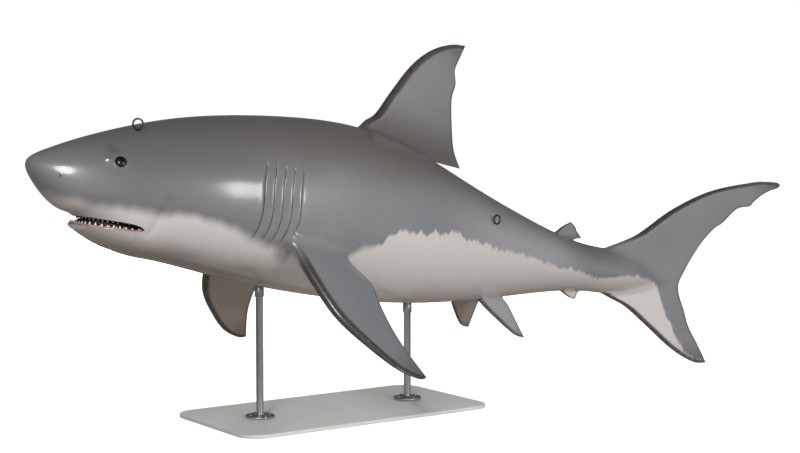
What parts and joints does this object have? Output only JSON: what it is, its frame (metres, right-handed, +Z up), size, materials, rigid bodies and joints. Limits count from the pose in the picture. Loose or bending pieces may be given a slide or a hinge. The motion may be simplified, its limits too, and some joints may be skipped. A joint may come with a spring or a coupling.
{
  "type": "great white shark statue",
  "caption": "Life-size glossy painted great white shark statue with a slightly open toothed mouth and steel lifting rings, held level on two rods over a flat base.",
  "frame": {"origin": "centre of the stand base's underside, which rests on the floor", "axes": "+Z up; the nose points to -X and the tail to +X; the shark's left side is -Y"},
  "size_m": [3.8208, 1.3972, 1.5531],
  "materials": {
    "painted_skin": "gloss clear-coated paint on fibreglass, grey above and white below",
    "gums": "gloss pinkish-brown resin gum with small off-white teeth",
    "eye_glass": "polished near-black glass eye",
    "ring_steel": "dull dark steel",
    "stand_paint": "satin light grey powder coat",
    "stand_steel": "brushed stainless steel"
  },
  "bodies": {
    "root": {"head": "painted_skin", "lower_jaw": "painted_skin", "trunk": "painted_skin", "tail": "painted_skin", "first_dorsal_fin": "painted_skin", "second_dorsal_fin": "painted_skin", "anal_fin": "painted_skin", "caudal_fin": "painted_skin", "pectoral_fin_left": "painted_skin", "pectoral_fin_right": "painted_skin", "pelvic_fin_left": "painted_skin", "pelvic_fin_right": "painted_skin", "lower_teeth": "gums", "upper_teeth": "gums", "eye_left": "eye_glass", "eye_right": "eye_glass", "head_ring": "ring_steel", "flank_ring_left": "ring_steel", "flank_ring_right": "ring_steel", "stand_base": "stand_paint", "stand_rod_front": "stand_steel", "stand_rod_rear": "stand_steel"}
  },
  "joints": []
}
